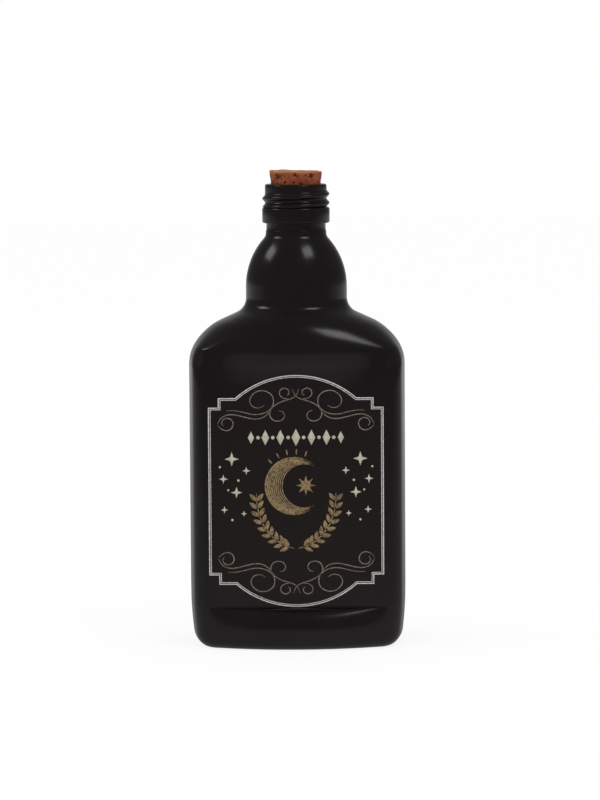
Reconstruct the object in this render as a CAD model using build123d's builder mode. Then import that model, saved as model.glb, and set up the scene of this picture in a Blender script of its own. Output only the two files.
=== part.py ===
"""A flat-sided black bottle with a bell-shaped neck, its front label and its tapered cork.

The bottle stands on its base, with the origin at the middle of the foot, +Z up its axis
and the label facing -Y. All sizes are in millimetres and all angles in degrees.

Every level section of the body is an oval of eight tangent arcs: a broad one at the
front and back, one at each side and four corners. The outside is lofted smoothly through
such ovals. The cavity takes its ovals from the same rules with the wall as an inset, so
the wall stays even when a size changes, and runs straight from one oval to the next.
"""

import os
from math import cos, pi, radians, sin, sqrt, tan

from build123d import *

# Heights, each counted down from the rim
bottle_height = 191.5
finish_height = 9.6  # the threaded mouth, from the transfer ring to the rim
ring_height = 6.6
neck_length = 4.2  # from the bell to the transfer ring
upper_height = 56.7  # shoulder and bell together, from the panel to the neck
ring_bottom = bottle_height - finish_height - ring_height
neck_foot_height = ring_bottom - neck_length
panel_top = neck_foot_height - upper_height

# Body
body_width = 90.0
panel_depth = 50.0  # from the front label panel to the back one
panel_bottom = 17.2
panel_corner_radius = 7.0
side_arc_angle = 10.0  # half of the angle that a side arc spans

# Heel band, a bowed oval that stands proud of both panels
heel_depth = 64.0
heel_band_height = 9.4
heel_radius = 8.0
heel_corner_radius = 9.5
bow_angle = 21.5  # half of the angle that the bowed front spans
least_bow_angle = 0.01  # a front that bows less than this is made flat

# Shoulder, which bulges out over the panels and then falls back to the bell
shoulder_depth = 60.0
bulge_rise = 6.1
shoulder_radius = 22.8
shoulder_slope = 24.6
shoulder_fillet = 6.8
shoulder_rise_side = 28.2
shoulder_fillet_side = 4.0
shoulder_bulge_height = panel_top + bulge_rise
shoulder_top_side = panel_top + shoulder_rise_side

# Bell, nearly round at its foot and round at its top
bell_width = 42.1
bell_depth = 40.0
bell_rise = 22.1
bell_rise_side = 21.5
bell_top_fillet = 3.0
ellipse_arc_angle = 30.0  # where the arcs of a nearly elliptical oval meet
bell_arc_start = neck_foot_height - bell_rise
bell_arc_start_side = neck_foot_height - bell_rise_side

# Neck, transfer ring and finish, which is the moulded mouth of the bottle
neck_foot_radius = 12.6
neck_radius = 12.35
neck_step_height = 1.1
ring_radius = 14.05
ring_chamfer = 0.9
finish_radius = 12.85
bore_radius = 10.4
rim_chamfer = 0.6
mouth_chamfer = 0.8

# Glass and base
wall = 3.0
base_thickness = 6.0
floor_chamfer = 3.0
push_up_height = 2.2
bearing_width = 4.0
push_up_flank = 6.0

# Cork
cork_length = 25.0
cork_stand = 5.9  # how far it stands out of the mouth
cork_half_angle = 6.0
cork_clearance = 0.1
cork_chamfer = 0.6

# Label, a plaque with a step at each corner and an arch at each end
label_width = 72.4
label_margin = 0.4  # between the label's ends and those of the panel
label_thickness = 0.15
label_shift = -0.6  # the label was stuck a little to one side
label_arch_width = 50.0
label_arch_rise = 9.4
label_step_width = 64.2
label_step_height = 3.9

# How finely the lofts are divided outside, and how much more coarsely inside
ledge_stations = 3
bulge_stations = 4
shoulder_stations = 6
foot_stations = 5
bell_stations = 6
cavity_spacing = 2


def blend(share, low, high):
    """A value part of the way from low to high."""
    return low + share * (high - low)


def even_heights(low, high, count):
    """Heights that divide the way from low to high, without low itself."""
    return [blend((i + 1) / count, low, high) for i in range(count)]


def dome(height, foot, top, start, end, fillet, inset):
    """Half size of a dome: upright, an arc inwards, then a hollow fillet to upright.

    The arc leaves the half size foot at the height start, and the fillet reaches the
    half size top at the height end. An inset moves the whole line inwards.
    """
    step, rise = foot - top, end - start
    radius = (rise**2 + step**2) / (2 * step) - fillet
    meeting = start + (radius - inset) * rise / (radius + fillet)
    if height <= start:
        return foot - inset
    if height <= meeting:
        return foot - radius + sqrt((radius - inset) ** 2 - (height - start) ** 2)
    if height < end:
        return top + fillet - sqrt((fillet + inset) ** 2 - (end - height) ** 2)
    return top - inset


def shoulder_line(height, inset):
    """Half width over the shoulder: an arc, a straight slope and a hollow fillet."""
    slope = radians(shoulder_slope)
    centre = body_width / 2 - shoulder_radius
    fillet_centre = bell_width / 2 + shoulder_fillet
    reach = shoulder_radius + shoulder_fillet - (fillet_centre - centre) * sin(slope)
    end = panel_top + reach / cos(slope)
    radius = shoulder_radius - inset
    fillet = shoulder_fillet + inset
    if height <= panel_top + radius * cos(slope):
        return centre + sqrt(radius**2 - (height - panel_top) ** 2)
    if height <= end - fillet * cos(slope):
        return centre + (radius - (height - panel_top) * cos(slope)) / sin(slope)
    if height < end:
        return fillet_centre - sqrt(fillet**2 - (end - height) ** 2)
    return bell_width / 2 - inset


def upper_half_width(height, inset, neck):
    """Half width from the panel's top to the foot of the neck."""
    if height < bell_arc_start:
        return shoulder_line(height, inset)
    bell, end = bell_width / 2, neck_foot_height
    return dome(height, bell, neck, bell_arc_start, end, bell_top_fillet, inset)


def upper_half_depth(height, inset, neck):
    """Half depth from the panel's top to the foot of the neck."""
    panel, bulge, bell = panel_depth / 2, shoulder_depth / 2, bell_depth / 2
    if height < shoulder_bulge_height:
        share = (height - panel_top) / (shoulder_bulge_height - panel_top)
        return blend((1 - cos(pi * share)) / 2, panel, bulge) - inset
    if height < bell_arc_start_side:
        start, end, radius = shoulder_bulge_height, shoulder_top_side, shoulder_fillet_side
        return dome(height, bulge, bell, start, end, radius, inset)
    start, end, radius = bell_arc_start_side, neck_foot_height, bell_top_fillet
    return dome(height, bell, neck, start, end, radius, inset)


def arc(x, y, height, radius, start, span):
    """A level arc about a centre, anticlockwise from its start angle."""
    return Edge.make_circle(radius, Plane((x, y, height)), start, start + span)


def oval(height, half_width, half_depth, corner, front_angle, side_angle):
    """A level face of eight tangent arcs, or with a flat front where its angle is 0."""
    front, side = radians(front_angle), radians(side_angle)
    turn = 90 - front_angle - side_angle
    # half_width is front_radius sin(front) + side_radius (1 - cos(side)) + the corner
    # half_depth is front_radius (1 - cos(front)) + side_radius sin(side) + the corner
    width = half_width - corner * (cos(side) - sin(front))
    depth = half_depth - corner * (cos(front) - sin(side))
    is_flat = front_angle < least_bow_angle
    if is_flat:
        turn = 90 - side_angle
        width = half_width - corner * cos(side)
        depth = half_depth - corner * (1 - sin(side))
        side_radius = depth / sin(side)
        corner_x = width - side_radius * (1 - cos(side))
    else:
        scale = sin(front) * sin(side) - (1 - cos(side)) * (1 - cos(front))
        front_radius = (width * sin(side) - depth * (1 - cos(side))) / scale
        side_radius = (depth * sin(front) - width * (1 - cos(front))) / scale
        corner_x = (front_radius - corner) * sin(front)
    corner_y = (side_radius - corner) * sin(side)
    side_x = half_width - side_radius
    # Edges made one by one stay eight, even where together they form a circle
    if is_flat:
        front = Edge.make_line((-corner_x, -half_depth, height), (corner_x, -half_depth, height))
        back = Edge.make_line((corner_x, half_depth, height), (-corner_x, half_depth, height))
    else:
        front_y = front_radius - half_depth
        front = arc(0, front_y, height, front_radius, -90 - front_angle, 2 * front_angle)
        back = arc(0, -front_y, height, front_radius, 90 - front_angle, 2 * front_angle)
    outline = [
        front,
        arc(corner_x, -corner_y, height, corner, -90 + front_angle, turn),
        arc(side_x, 0, height, side_radius, -side_angle, 2 * side_angle),
        arc(corner_x, corner_y, height, corner, side_angle, turn),
        back,
        arc(-corner_x, corner_y, height, corner, 90 + front_angle, turn),
        arc(-side_x, 0, height, side_radius, 180 - side_angle, 2 * side_angle),
        arc(-corner_x, -corner_y, height, corner, 180 + side_angle, turn),
    ]
    return Face(Wire(outline))


def heel_oval(height, inset):
    """The bowed oval of the heel band."""
    half_width = body_width / 2 - inset
    half_depth = heel_depth / 2 - inset
    corner = heel_corner_radius - inset
    return oval(height, half_width, half_depth, corner, bow_angle, side_arc_angle)


def panel_oval(height, inset):
    """The flat-sided section between the two panels."""
    half_width = body_width / 2 - inset
    half_depth = panel_depth / 2 - inset
    corner = panel_corner_radius - inset
    return oval(height, half_width, half_depth, corner, 0, side_arc_angle)


def ledge_oval(share, inset):
    """A section of the rounded ledge, from the heel band at 0 to the panel at 1."""
    proud = cos(share * pi / 2)
    top = panel_bottom - inset
    height = blend(sin(share * pi / 2), heel_band_height, top)
    half_width = body_width / 2 - inset
    half_depth = blend(proud, panel_depth, heel_depth) / 2 - inset
    corner = blend(proud, panel_corner_radius, heel_corner_radius) - inset
    front_angle = bow_angle * proud
    return oval(height, half_width, half_depth, corner, front_angle, side_arc_angle)


def upper_oval(height, inset, neck):
    """A section between the panel's top and the neck, from bowed to elliptical."""
    half_width = upper_half_width(height, inset, neck)
    half_depth = upper_half_depth(height, inset, neck)
    mean = sqrt(half_width * half_depth)
    if height < shoulder_bulge_height:
        share = (height - panel_top) / (shoulder_bulge_height - panel_top)
        corner = blend(share, panel_corner_radius, heel_corner_radius) - inset
        front_angle = bow_angle * (1 - cos(pi * share)) / 2
        side_angle = side_arc_angle
    else:
        rise = (height - shoulder_bulge_height) / (shoulder_top_side - shoulder_bulge_height)
        share = min(rise, 1)
        corner = blend(share, heel_corner_radius - inset, mean)
        front_angle = blend(share, bow_angle, ellipse_arc_angle)
        side_angle = blend(share, side_arc_angle, ellipse_arc_angle)
    return oval(height, half_width, half_depth, corner, front_angle, side_angle)


def loft_through(faces, straight):
    """Add a solid through level faces to the part being built, smooth or in straight runs."""
    for face in faces:
        add(face)
    loft(ruled=straight)


def add_body(floor, inset, neck, spacing, straight):
    """Add the body's solids, from the height floor up to the foot of the neck.

    The spacing is how many stations lie between two sections that are used.
    """
    foot_low = shoulder_top_side - shoulder_fillet_side
    foot_high = bell_arc_start
    steps = ledge_stations // spacing
    bulge_heights = even_heights(panel_top, shoulder_bulge_height, bulge_stations // spacing)
    slope_heights = even_heights(shoulder_bulge_height, foot_low, shoulder_stations // spacing)
    foot_heights = even_heights(foot_low, foot_high, foot_stations // spacing)
    bell_heights = even_heights(foot_high, neck_foot_height, bell_stations // spacing)
    shoulder_heights = [shoulder_bulge_height] + slope_heights + foot_heights
    add(heel_oval(floor, inset))
    extrude(amount=heel_band_height - floor)
    loft_through([ledge_oval(i / steps, inset) for i in range(steps + 1)], straight)
    add(panel_oval(panel_bottom - inset, inset))
    extrude(amount=panel_top - panel_bottom + inset)
    bulge = [upper_oval(height, inset, neck) for height in bulge_heights]
    loft_through([panel_oval(panel_top, inset)] + bulge, straight)
    shoulder = [upper_oval(height, inset, neck) for height in shoulder_heights]
    loft_through(shoulder, straight)
    bell = [upper_oval(height, inset, neck) for height in [foot_high] + bell_heights]
    loft_through(bell, straight)


os.makedirs("parts", exist_ok=True)

# Bottle, one hollow moulding from the foot to the rim
with BuildPart() as cavity:
    add_body(base_thickness, wall, bore_radius + wall, cavity_spacing, straight=True)
    chamfer(cavity.edges().group_by(Axis.Z)[0], floor_chamfer)

with BuildPart() as bottle:
    add_body(0, 0, neck_foot_radius, 1, straight=False)
    fillet(bottle.edges().group_by(Axis.Z)[0], heel_radius)
    # Push-up, the shallow dish in the base
    dish_x = body_width / 2 - heel_radius - bearing_width
    dish_y = heel_depth / 2 - heel_radius - bearing_width
    with BuildSketch(Plane.XY):
        Ellipse(dish_x, dish_y)
    with BuildSketch(Plane.XY.offset(push_up_height)):
        Ellipse(dish_x - push_up_flank, dish_y - push_up_flank)
    loft(mode=Mode.SUBTRACT)
    add(cavity.part, mode=Mode.SUBTRACT)
    # Neck, transfer ring and mouth, turned round the axis
    step_top = neck_foot_height + neck_step_height
    ring_top = ring_bottom + ring_height
    with BuildSketch(Plane.XZ) as neck_section:
        with BuildLine():
            Polyline(
                (neck_radius, ring_bottom),
                (ring_radius - ring_chamfer, ring_bottom),
                (ring_radius, ring_bottom + ring_chamfer),
                (ring_radius, ring_top - ring_chamfer),
                (ring_radius - ring_chamfer, ring_top),
                (finish_radius, ring_top),
                (finish_radius, bottle_height - rim_chamfer),
                (finish_radius - rim_chamfer, bottle_height),
                (bore_radius + mouth_chamfer, bottle_height),
                (bore_radius, bottle_height - mouth_chamfer),
                (bore_radius, neck_foot_height),
                (neck_foot_radius, neck_foot_height),
                (neck_foot_radius, step_top),
                (neck_radius, step_top),
                close=True,
            )
        make_face()
    revolve(axis=Axis.Z)
bottle.part.label = "bottle"
export_step(bottle.part, "parts/bottle.step")
print("bottle volume", round(bottle.part.volume), "valid", bottle.part.is_valid)

# Cork, a tapered stopper that wedges in the mouth
cork_top = bottle_height + cork_stand
cork_seat = bottle_height - mouth_chamfer
cork_seat_radius = bore_radius - cork_clearance
cork_taper = tan(radians(cork_half_angle))
cork_top_radius = cork_seat_radius + (cork_top - cork_seat) * cork_taper
cork_foot_radius = cork_top_radius - cork_length * cork_taper
with BuildPart() as cork:
    with BuildSketch(Plane.XZ):
        with BuildLine():
            Polyline(
                (0, cork_top - cork_length),
                (cork_foot_radius, cork_top - cork_length),
                (cork_top_radius, cork_top),
                (0, cork_top),
                close=True,
            )
        make_face()
    revolve(axis=Axis.Z)
    chamfer(cork.edges().filter_by(GeomType.CIRCLE), cork_chamfer)
cork.part.label = "cork"
export_step(cork.part, "parts/cork.step")
print("cork volume", round(cork.part.volume), "valid", cork.part.is_valid)

# Front label, a die-cut film that lies flat on the panel
arch_x, step_x, edge_x = label_arch_width / 2, label_step_width / 2, label_width / 2
half_height = (panel_top - panel_bottom) / 2 - label_margin
arch_y = half_height - label_arch_rise
step_y = arch_y - label_step_height
label_plane = Plane(
    origin=(label_shift, -panel_depth / 2, (panel_bottom + panel_top) / 2),
    x_dir=(1, 0, 0),
    z_dir=(0, -1, 0),
)
with BuildPart() as front_label:
    with BuildSketch(label_plane):
        with BuildLine():
            ThreePointArc((-arch_x, arch_y), (0, half_height), (arch_x, arch_y))
            Polyline(
                (arch_x, arch_y),
                (step_x, arch_y),
                (step_x, step_y),
                (edge_x, step_y),
                (edge_x, -step_y),
                (step_x, -step_y),
                (step_x, -arch_y),
                (arch_x, -arch_y),
            )
            ThreePointArc((arch_x, -arch_y), (0, -half_height), (-arch_x, -arch_y))
            Polyline(
                (-arch_x, -arch_y),
                (-step_x, -arch_y),
                (-step_x, -step_y),
                (-edge_x, -step_y),
                (-edge_x, step_y),
                (-step_x, step_y),
                (-step_x, arch_y),
                (-arch_x, arch_y),
            )
        make_face()
    extrude(amount=label_thickness)
front_label.part.label = "front_label"
export_step(front_label.part, "parts/front_label.step")
print("label volume", round(front_label.part.volume), "valid", front_label.part.is_valid)
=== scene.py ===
# %% [markdown]
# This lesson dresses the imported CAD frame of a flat-sided black glass bottle with a cork and
# a printed front label. The CAD model says where each piece is and how large it is. Blender
# adds what CAD leaves out: the screw thread, the soft edges of moulded glass, the pits of
# the cork and the print on the label. Everything starts from the frame, so it is loaded first.

from math import cos, pi, radians, sin, sqrt

import bpy
import numpy as np
from mathutils import Matrix, Vector


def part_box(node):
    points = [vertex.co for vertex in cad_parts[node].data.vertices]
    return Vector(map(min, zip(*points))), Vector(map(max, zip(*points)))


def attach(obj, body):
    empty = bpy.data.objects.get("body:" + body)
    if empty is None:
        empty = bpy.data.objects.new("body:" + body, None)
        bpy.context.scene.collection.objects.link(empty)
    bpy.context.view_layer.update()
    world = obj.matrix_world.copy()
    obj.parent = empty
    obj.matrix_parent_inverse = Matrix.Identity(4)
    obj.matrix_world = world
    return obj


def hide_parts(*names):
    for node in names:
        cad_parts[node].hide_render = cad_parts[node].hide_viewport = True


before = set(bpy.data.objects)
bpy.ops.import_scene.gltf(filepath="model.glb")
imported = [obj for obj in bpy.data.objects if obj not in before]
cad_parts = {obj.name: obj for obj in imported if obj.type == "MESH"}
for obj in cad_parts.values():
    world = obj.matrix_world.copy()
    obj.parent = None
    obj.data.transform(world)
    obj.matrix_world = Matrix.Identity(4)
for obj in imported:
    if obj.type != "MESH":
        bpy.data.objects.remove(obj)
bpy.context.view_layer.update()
mm = 0.001
bottle_low, bottle_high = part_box("bottle")
cork_low, cork_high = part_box("cork")
label_low, label_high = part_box("front_label")
body_width = (bottle_high.x - bottle_low.x) / mm
heel_depth = (bottle_high.y - bottle_low.y) / mm
bottle_height = bottle_high.z / mm
print("the bottle's width, depth and height in mm:",
      round(body_width, 1), round(heel_depth, 1), round(bottle_height, 1))

# %% [markdown]
# Every new surface here is a grid of points: rows that follow one another along a profile,
# and columns that run round it. A mesh could be pulled from primitives by hand, but a grid
# worked out with numpy keeps each edge loop where the shape needs it, and one function can
# turn any grid into a mesh. A pole is closed by triangles to the middle of its row.

# %% A mesh from a grid of points
def mesh_object(name, vertices, faces):
    """A smooth object at the origin, from vertices in millimetres and lists of corners."""
    mesh = bpy.data.meshes.new(name)
    mesh.from_pydata((vertices * mm).tolist(), [], faces)
    mesh.polygons.foreach_set("use_smooth", np.ones(len(mesh.polygons), bool))
    made = bpy.data.objects.new(name, mesh)
    bpy.context.scene.collection.objects.link(made)
    print(name, "has", len(mesh.vertices), "vertices and", len(mesh.polygons), "faces")
    return made


def closed_grid(name, *grids):
    """An object over grids whose columns go all the way round and whose two ends are closed.

    Each face joins a point, its neighbour in the row and the same two points of the next
    row. The first and last rows are closed by a fan to their mean point.
    """
    vertices, faces, count = [], [], 0
    for points in grids:
        rows, columns = points.shape[:2]
        here = np.arange(rows * columns).reshape(rows, columns) + count
        beside = np.roll(here, -1, axis=1)
        quads = np.stack([here[:-1], beside[:-1], beside[1:], here[1:]], axis=-1).reshape(-1, 4)
        first, last = np.broadcast_to([[count + here.size], [count + here.size + 1]], (2, columns))
        start_fan = np.stack([beside[0], here[0], first], axis=-1)
        end_fan = np.stack([here[-1], beside[-1], last], axis=-1)
        vertices += [points.reshape(-1, 3), points[[0, -1]].mean(axis=1)]
        faces += quads.tolist() + start_fan.tolist() + end_fan.tolist()
        count += here.size + 2
    return mesh_object(name, np.concatenate(vertices), faces)


# %% [markdown]
# The body is flat at the front and back, bowed at the heel and round at the neck, yet one
# rule covers it all: each level section is an oval of eight tangent arcs. A section is six
# numbers, and they change smoothly with height. Subdivision modelling could round a box
# to much the same shape, but the highlights on black glass show every dent, and arcs that
# meet exactly keep them clean.

# %% Level ovals of eight arcs
side_steps, corner_steps, front_steps = 14, 13, 22


def quarter_ovals(section):
    """Points over the first quarter of each oval, from the side over the corner to the front.

    With f and s for half of the angle that the front and side arcs span, c for the corner
    radius and X for half of the front arc's chord, the half width less c (cos s - sin f) is
    X + S (1 - cos s), and the half depth less c (cos f - sin s) is X tan(f / 2) + S sin s.
    These two give X and the side radius S. The front falls by b x^2 / (1 + sqrt(1 - b^2 x^2))
    at x, where b is sin f / X, so a flat front is the same rule with b zero.
    """
    height, width, depth, corner, front, side = section.T[:, :, None]
    front, side = np.radians(front), np.radians(side)
    reach_x = width - corner * (np.cos(side) - np.sin(front))
    reach_y = depth - corner * (np.cos(front) - np.sin(side))
    lean_x, lean_y = np.tan(side / 2), np.tan(front / 2)
    chord = (reach_x - lean_x * reach_y) / (1 - lean_x * lean_y)
    side_radius = (reach_y - chord * lean_y) / np.sin(side)
    turn = side * np.arange(side_steps) / side_steps
    side_x = width - side_radius * (1 - np.cos(turn))
    side_y = side_radius * np.sin(turn)
    turn = side + (pi / 2 - front - side) * np.arange(corner_steps) / corner_steps
    corner_x = chord + corner * (np.cos(turn) - np.sin(front))
    corner_y = (side_radius - corner) * np.sin(side) + corner * np.sin(turn)
    front_x = chord * (1 - np.arange(front_steps + 1) / front_steps)
    bend = np.sin(front) / chord
    front_y = depth - bend * front_x**2 / (1 + np.sqrt(1 - (bend * front_x) ** 2))
    return np.hstack([side_x, corner_x, front_x]), np.hstack([side_y, corner_y, front_y])


def ovals(section):
    """A grid of points, one oval a row, anticlockwise from +X: a quarter and its mirrors."""
    x, y = quarter_ovals(section)
    back = slice(None, 0, -1)
    all_x = np.hstack([x[:, :-1], -x[:, back], -x[:, :-1], x[:, back]])
    all_y = np.hstack([y[:, :-1], y[:, back], -y[:, :-1], -y[:, back]])
    all_z = np.broadcast_to(section[:, :1], all_x.shape)
    return np.stack([all_x, all_y, all_z], axis=-1)


def sections(*columns):
    """Sections as rows of height, half width, half depth, corner, front and side angle."""
    return np.column_stack(np.broadcast_arrays(*columns)).astype(float)


def blend(share, low, high):
    """Values part of the way from low to high: low and a share of what lies between them."""
    return low + share * (high - low)


print("a section has", 4 * (side_steps + corner_steps + front_steps), "points")

# %% [markdown]
# The next sizes are those of the glass itself, in millimetres and degrees. The heel stands
# proud of the panels and is bowed, the shoulder bulges over them, and the bell narrows from
# an ellipse to the round neck. Where two stretches meet in the mould they meet in a small
# hollow fillet. A section is nearly an ellipse where both of its angles are 30 degrees and
# its corner radius is the root of half width times half depth, and round if these are equal.

# %% Sizes of the body
panel_depth, panel_bottom, panel_top, panel_corner = 50.0, 17.2, 114.4, 7.0
heel_band_height, heel_radius, heel_corner = 8.2, 5.5, 9.5
heel_taper, heel_taper_height = 1.9, 24.0
bow_angle, side_angle, ellipse_angle = 21.5, 10.0, 30.0
crease_fillet = 0.7
crease_low, crease_high, crease_rise, crease_reach = 100.0, 132.0, 2.1, 32.0
shoulder_depth, bulge_height, shoulder_radius, shoulder_slope = 60.0, 123.6, 22.8, 24.6
shoulder_fillet, shoulder_top_side, shoulder_fillet_side = 6.8, 142.6, 4.0
bell_width, bell_depth, bell_start, bell_start_side, bell_fillet = 42.1, 40.0, 149.0, 149.6, 3.0
neck_foot_height, neck_foot_radius, neck_radius, neck_step = 171.1, 12.6, 12.35, 1.1
step_fillet, neck_fillet = 0.12, 0.35
ring_radius, ring_bottom, ring_height, ring_fillet = 14.05, 175.3, 6.6, 0.9
finish_radius, bore_radius, rim_fillet = 12.85, 10.4, 0.8
wall, base_thickness, push_up_height, bearing_width = 3.0, 6.0, 2.2, 4.0
print("heel, panel and shoulder depth in mm:", round(heel_depth, 1), panel_depth, shoulder_depth)

# %% [markdown]
# The lower body is three stretches: the bowed heel band, the rounded ledge on top of it and
# the flat-sided panels. Each function gives one stretch as rows of sections. Its inset moves
# them all inwards by the wall, so the same functions make the outside of the glass and the
# inside, and the wall comes out even without a modifier.

# %% Heel, ledge and panel
heel_steps, ledge_steps, fillet_steps, panel_steps = 6, 26, 7, 14


def body_half_width(height):
    """Half width of the lower body: less by the taper times (1 - z / its height)^2."""
    return body_width / 2 - heel_taper * np.clip(1 - height / heel_taper_height, 0, 1) ** 2


def heel_rows(inset, low, high):
    """Sections of the bowed heel band, which narrows a little towards the foot."""
    height = np.linspace(low, high, heel_steps)
    width = body_half_width(height) - inset
    depth, corner = heel_depth / 2 - inset, heel_corner - inset
    return sections(height, width, depth, corner, bow_angle, side_angle)


def ledge_rows(inset):
    """Sections of the rounded ledge: a quarter ellipse inwards, then a hollow quarter circle.

    Along the ellipse the share that stands proud is cos t and the rise is sin t. Along the
    hollow fillet the share falls from its last value as 1 - sin t while the rise is 1 - cos t.
    """
    proud_depth = (heel_depth - panel_depth) / 2
    last = crease_fillet / proud_depth
    turn = np.linspace(0, np.arccos(last), ledge_steps)[1:]
    hollow = np.linspace(0, pi / 2, fillet_steps)[1:]
    top = panel_bottom - inset
    rise = np.sin(turn) / np.sin(turn[-1])
    fillet_height = top + crease_fillet * (1 - np.cos(hollow))
    height = np.hstack([blend(rise, heel_band_height, top), fillet_height])
    proud = np.hstack([np.cos(turn), last * (1 - np.sin(hollow))])
    width = body_half_width(height) - inset
    depth = blend(proud, panel_depth, heel_depth) / 2 - inset
    corner = blend(proud, panel_corner, heel_corner) - inset
    return sections(height, width, depth, corner, bow_angle * proud, side_angle)


def panel_rows(inset):
    """Sections of the flat-sided stretch between heel and shoulder."""
    height = np.linspace(panel_bottom + 2 * crease_fillet, panel_top, panel_steps)
    width, depth = body_half_width(height) - inset, panel_depth / 2 - inset
    return sections(height, width, depth, panel_corner - inset, 0, side_angle)


print("the heel stands", round((heel_depth - panel_depth) / 2, 1), "mm proud of the panels")

# %% [markdown]
# The shoulder and the bell have the same profile: upright, an arc that turns inwards, and a
# hollow fillet that turns upright again. One function serves both, with the arc's radius
# found from how far it must rise and how far it must step in.

# %% Shoulder and bell
bulge_steps, shoulder_steps, bell_foot_steps, bell_steps = 13, 34, 12, 34


def dome(height, foot, top, start, end, fillet, inset):
    """Half sizes of a dome: an arc inwards from foot, then a hollow fillet that ends at top.

    Over its step and its rise, the arc's radius is (rise^2 + step^2) / (2 step) - fillet.
    """
    step, rise = foot - top, end - start
    radius = (rise**2 + step**2) / (2 * step) - fillet
    meeting = start + (radius - inset) * rise / (radius + fillet)
    above = np.clip(height - start, 0, radius - inset)
    below = np.clip(end - height, 0, fillet + inset)
    arc = foot - radius + np.sqrt((radius - inset) ** 2 - above**2)
    hollow = top + fillet - np.sqrt((fillet + inset) ** 2 - below**2)
    return np.where(height <= meeting, arc, hollow)


def shoulder_line(height, inset):
    """Half widths over the shoulder: an arc, a straight slope and a hollow fillet.

    The arc's centre is level with the panel's top. The slope touches the arc where it has
    turned to the slope's angle, and the fillet touches the slope and ends upright.
    """
    slope = radians(shoulder_slope)
    centre = body_width / 2 - shoulder_radius
    fillet_centre = bell_width / 2 + shoulder_fillet
    reach = shoulder_radius + shoulder_fillet - (fillet_centre - centre) * sin(slope)
    end = panel_top + reach / cos(slope)
    radius, fillet = shoulder_radius - inset, shoulder_fillet + inset
    above = np.clip(height - panel_top, 0, radius)
    below = np.clip(end - height, 0, fillet)
    arc = centre + np.sqrt(radius**2 - above**2)
    straight = centre + (radius - (height - panel_top) * cos(slope)) / sin(slope)
    hollow = fillet_centre - np.sqrt(fillet**2 - below**2)
    on_arc = height <= panel_top + radius * cos(slope)
    on_slope = height <= end - fillet * cos(slope)
    return np.where(on_arc, arc, np.where(on_slope, straight, hollow))


def upper_rows(inset, neck):
    """Sections from the panel's top over the bulge, the shoulder and the bell to the neck.

    The bulge's depth grows as the sine of a quarter turn. Over the shoulder, the corner and
    the two angles go evenly from those of the bulge to those of an ellipse.
    """
    height = np.hstack([
        np.linspace(panel_top, bulge_height, bulge_steps),
        np.linspace(bulge_height, shoulder_top_side, shoulder_steps)[1:],
        np.linspace(shoulder_top_side, bell_start, bell_foot_steps)[1:],
        np.linspace(bell_start, neck_foot_height, bell_steps)[1:],
    ])
    bell = dome(height, bell_width / 2, neck, bell_start, neck_foot_height, bell_fillet, inset)
    width = np.where(height < bell_start, shoulder_line(height, inset), bell)
    bulge = np.clip((height - panel_top) / (bulge_height - panel_top), 0, 1)
    swell = np.sin(pi / 2 * bulge)
    over_panel = blend(swell, panel_depth / 2, shoulder_depth / 2) - inset
    sizes = bulge_height, shoulder_top_side, shoulder_fillet_side, inset
    over_shoulder = dome(height, shoulder_depth / 2, bell_depth / 2, *sizes)
    bell = dome(height, bell_depth / 2, neck, bell_start_side, neck_foot_height, bell_fillet, inset)
    depth = np.where(height < bell_start_side, over_shoulder, bell)
    depth = np.where(height < bulge_height, over_panel, depth)
    round_share = np.clip((height - bulge_height) / (shoulder_top_side - bulge_height), 0, 1)
    corner = blend(bulge, panel_corner, heel_corner) - inset
    corner = blend(round_share, corner, np.sqrt(width * depth))
    front = blend(round_share, bow_angle * swell, ellipse_angle)
    side = blend(round_share, side_angle, ellipse_angle)
    return sections(height, width, depth, corner, front, side)


def lift_crease(grid):
    """Bends the crease under the bulge up towards the sides, in the grid itself.

    At the panel's top the lift is its rise times sin^2 of an angle that grows with x to a
    quarter turn at the reach. Above and below it fades as s^2 (3 - 2 s), with s from 1 to 0.
    """
    x, z = grid[..., 0], grid[..., 2]
    below = (z - crease_low) / (panel_top - crease_low)
    above = (crease_high - z) / (crease_high - panel_top)
    near = np.clip(np.minimum(below, above), 0, 1)
    aside = np.sin(pi / 2 * np.clip(x / crease_reach, -1, 1)) ** 2
    grid[..., 2] += crease_rise * aside * near**2 * (3 - 2 * near)


print("from the panel's top to the neck:", len(upper_rows(0, neck_foot_radius)), "rows")

# %% [markdown]
# The foot is a shallow dish inside a ring that bears on the table, because a flat foot of
# blown glass would rock. A boolean with a flattened sphere could cut the dish. Ellipses
# that rise towards the middle need no cut, and the heel's sections follow on from them.

# %% Foot
dish_steps, heel_edge_steps = 15, 15


def foot_rows():
    """Sections from the middle of the dish, over the bearing ring and up the heel's radius.

    The dish is its height times 1 - s^4 high, where s goes from 0 in its middle to 1 at the
    ring. The heel's edge is a quarter circle.
    """
    dish_x = body_half_width(0) - heel_radius - bearing_width
    dish_y = heel_depth / 2 - heel_radius - bearing_width
    share = np.linspace(0, 1, dish_steps)[1:]
    height = push_up_height * (1 - share**4)
    x, y = dish_x * share, dish_y * share
    dish = sections(height, x, y, np.sqrt(x * y), ellipse_angle, ellipse_angle)
    turn = np.linspace(0, pi / 2, heel_edge_steps)
    inset = heel_radius * (1 - np.sin(turn))
    height = heel_radius * (1 - np.cos(turn))
    width = body_half_width(height) - inset
    depth, corner = heel_depth / 2 - inset, heel_corner - inset
    edge = sections(height, width, depth, corner, bow_angle, side_angle)
    middle = blend(0.5, dish[-1:], edge[:1])
    return np.vstack([dish, middle, edge])


print("the foot takes", len(foot_rows()), "rows")

# %% [markdown]
# The mouth is round: a neck, the transfer ring that the mould carries the bottle by, the
# finish that the thread stands on, the rim and the bore. A profile of corners, each rounded
# by its own radius, is how a drawing for the mould gives it. It could be spun by a modifier,
# but as round sections its points join the body's in one grid.

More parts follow.
